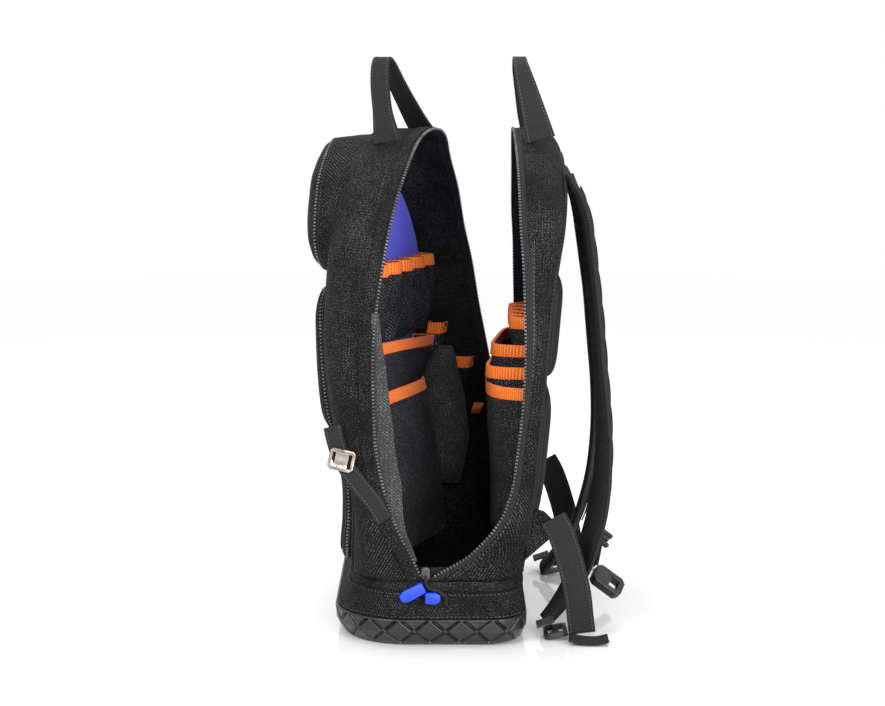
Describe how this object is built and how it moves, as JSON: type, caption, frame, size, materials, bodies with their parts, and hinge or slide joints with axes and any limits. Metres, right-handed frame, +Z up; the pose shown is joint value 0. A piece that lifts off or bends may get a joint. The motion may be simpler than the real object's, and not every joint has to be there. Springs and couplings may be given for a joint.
{
  "type": "tool backpack",
  "caption": "Clamshell tool backpack that stands open on a moulded rubber base, with inner tool pockets, grab handles and padded shoulder straps.",
  "frame": {"origin": "middle of the base's flat underside, on the floor", "axes": "+X from the front pockets to the shoulder straps, +Y across the bag to its far side, +Z up"},
  "size_m": [0.3049, 0.3338, 0.5376],
  "materials": {
    "cloth": "heavy diagonal weave, dull",
    "lining": "plain weave, soft sheen",
    "binding": "ribbed tape",
    "webbing": "ribbed webbing",
    "mesh": "open mesh over foam",
    "rubber": "moulded, matt",
    "plastic": "moulded, satin",
    "metal": "polished",
    "pull": "moulded, soft"
  },
  "bodies": {
    "root": {"base_boot": "rubber", "foot_band": "cloth", "foot_welt": "webbing", "front_half": "cloth", "back_half": "cloth", "front_zip": "webbing", "back_zip": "webbing", "front_lining": "lining", "back_lining": "lining", "pocket_upper": "cloth", "pocket_middle": "cloth", "pocket_lower": "cloth", "front_sleeves": "cloth", "front_sleeves_binding": "binding", "front_pocket_top": "cloth", "front_pocket_top_binding": "binding", "front_pocket_large": "cloth", "front_pocket_large_binding": "binding", "gusset_pocket_back": "cloth", "gusset_pocket_back_binding": "binding", "gusset_pocket_front": "cloth", "gusset_pocket_front_binding": "binding", "back_sleeves": "cloth", "back_sleeves_binding": "binding", "back_pocket_top": "cloth", "back_pocket_top_binding": "binding", "back_pocket_middle": "cloth", "back_pocket_middle_binding": "binding", "back_pocket_large": "cloth", "back_pocket_large_binding": "binding", "front_handle": "webbing", "back_handle": "webbing", "back_pad_upper": "mesh", "back_pad_lower": "mesh", "strap_near": "mesh", "strap_wing_near": "cloth", "strap_webbing_near": "webbing", "ladder_lock_near": "plastic", "strap_tail_near": "webbing", "strap_far": "mesh", "strap_wing_far": "cloth", "strap_webbing_far": "webbing", "ladder_lock_far": "plastic", "strap_tail_far": "webbing", "chest_webbing_near": "webbing", "chest_webbing_far": "webbing", "chest_buckle_socket": "plastic", "chest_buckle_prong": "plastic", "side_strap": "webbing", "side_clip": "metal", "zip_slider": "metal", "pull_tab_long": "pull", "pull_tab_short": "pull", "pull_cord": "webbing", "padded_pouch": "cloth"}
  },
  "joints": []
}
